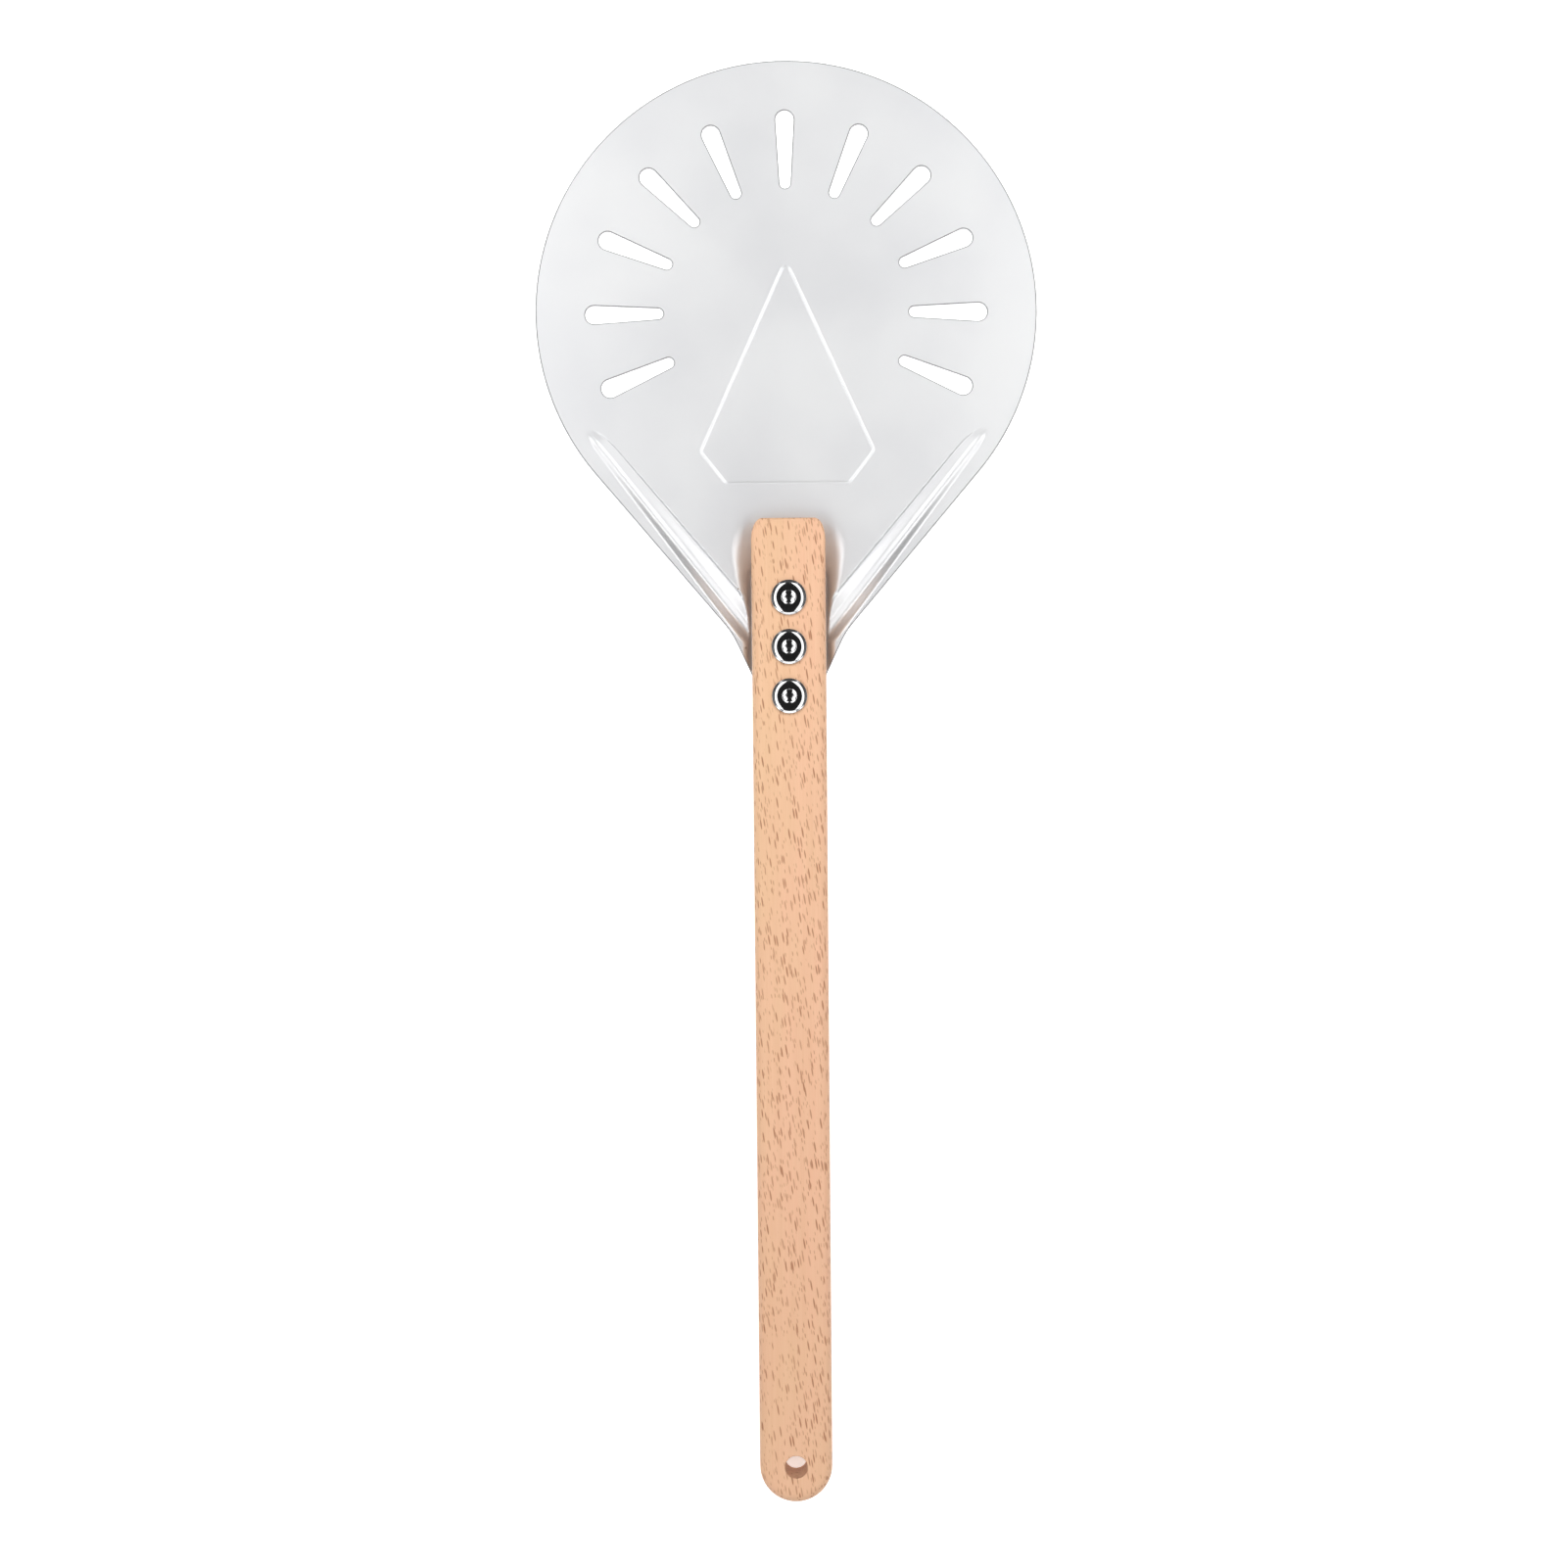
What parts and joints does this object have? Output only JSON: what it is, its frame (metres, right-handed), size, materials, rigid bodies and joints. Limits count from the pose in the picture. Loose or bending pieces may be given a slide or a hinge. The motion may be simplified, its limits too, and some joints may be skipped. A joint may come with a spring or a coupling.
{
  "type": "pizza turning peel",
  "caption": "Round perforated aluminium blade with pressed stiffening ribs and a recessed neck, bolted to a long flat wooden handle with a hang hole.",
  "frame": {"origin": "centre of the round blade, on its flat underside", "axes": "+Z normal to the blade towards the side that carries the handle, +Y along the handle's direction towards the blade's front edge, handle along -Y"},
  "size_m": [0.2286, 0.6538, 0.026],
  "materials": {
    "blade_aluminium": "satin",
    "handle_beech": "sanded beech, unvarnished",
    "bolt_chrome": "polished",
    "nut_chrome": "polished"
  },
  "bodies": {
    "root": {"blade": "blade_aluminium", "handle": "handle_beech", "bolt_1": "bolt_chrome", "bolt_2": "bolt_chrome", "bolt_3": "bolt_chrome", "sleeve_nut_1": "nut_chrome", "sleeve_nut_2": "nut_chrome", "sleeve_nut_3": "nut_chrome"}
  },
  "joints": []
}
